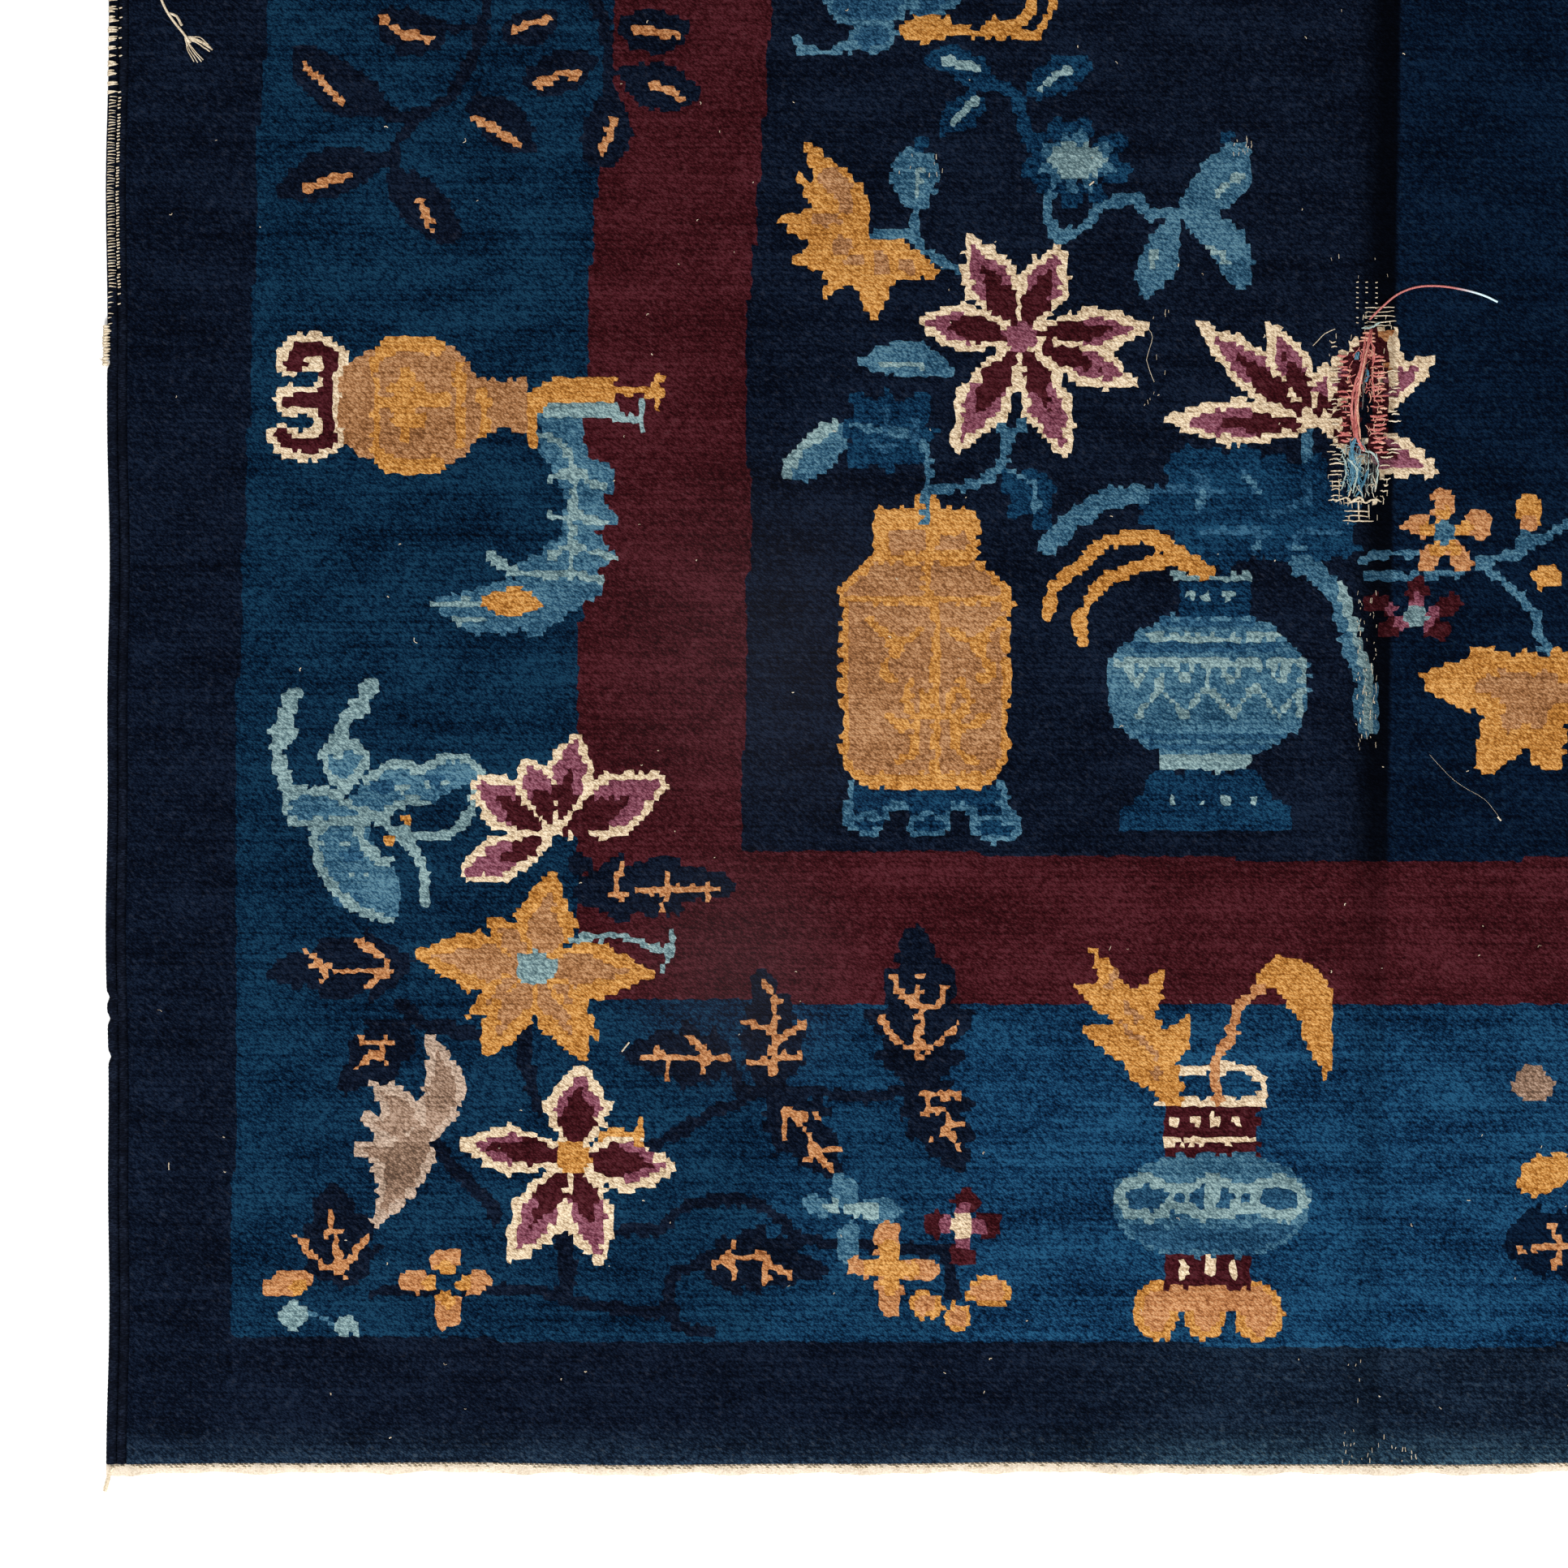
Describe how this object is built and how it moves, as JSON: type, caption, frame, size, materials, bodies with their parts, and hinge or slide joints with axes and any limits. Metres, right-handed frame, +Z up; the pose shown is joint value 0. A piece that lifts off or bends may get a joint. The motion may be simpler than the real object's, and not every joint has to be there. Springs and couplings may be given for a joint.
{
  "type": "chinese art deco rug",
  "caption": "Hand-knotted wool rug laid flat, with overcast edge cords, cotton end webs and three flat borders round a plain-ground field.",
  "frame": {"origin": "middle of the rug's underside, on the surface it lies on", "axes": "+Y along the warps, the rug's length, away from the end shown at the bottom of the picture; +X across the rug, to the picture's right; +Z up out of the pile"},
  "size_m": [2.7444, 3.563, 0.0144],
  "materials": {
    "wool_pile": "cut wool pile, navy, blue and burgundy with ochre, tan, cream and mauve motifs, matt with a soft sheen",
    "overcast_wool": "navy wool overcasting, worn to cream cotton along a part of the left side",
    "cotton_web": "undyed cotton, matt",
    "darning_yarn": "rose wool yarn, matt"
  },
  "bodies": {
    "root": {"rug_body": "wool_pile", "edge_cord_left_outer": "overcast_wool", "edge_cord_left_inner": "overcast_wool", "edge_cord_right_outer": "overcast_wool", "edge_cord_right_inner": "overcast_wool", "end_web_near": "cotton_web", "end_web_far": "cotton_web", "darning_yarn_tail": "darning_yarn", "loose_cotton_thread": "cotton_web"}
  },
  "joints": []
}
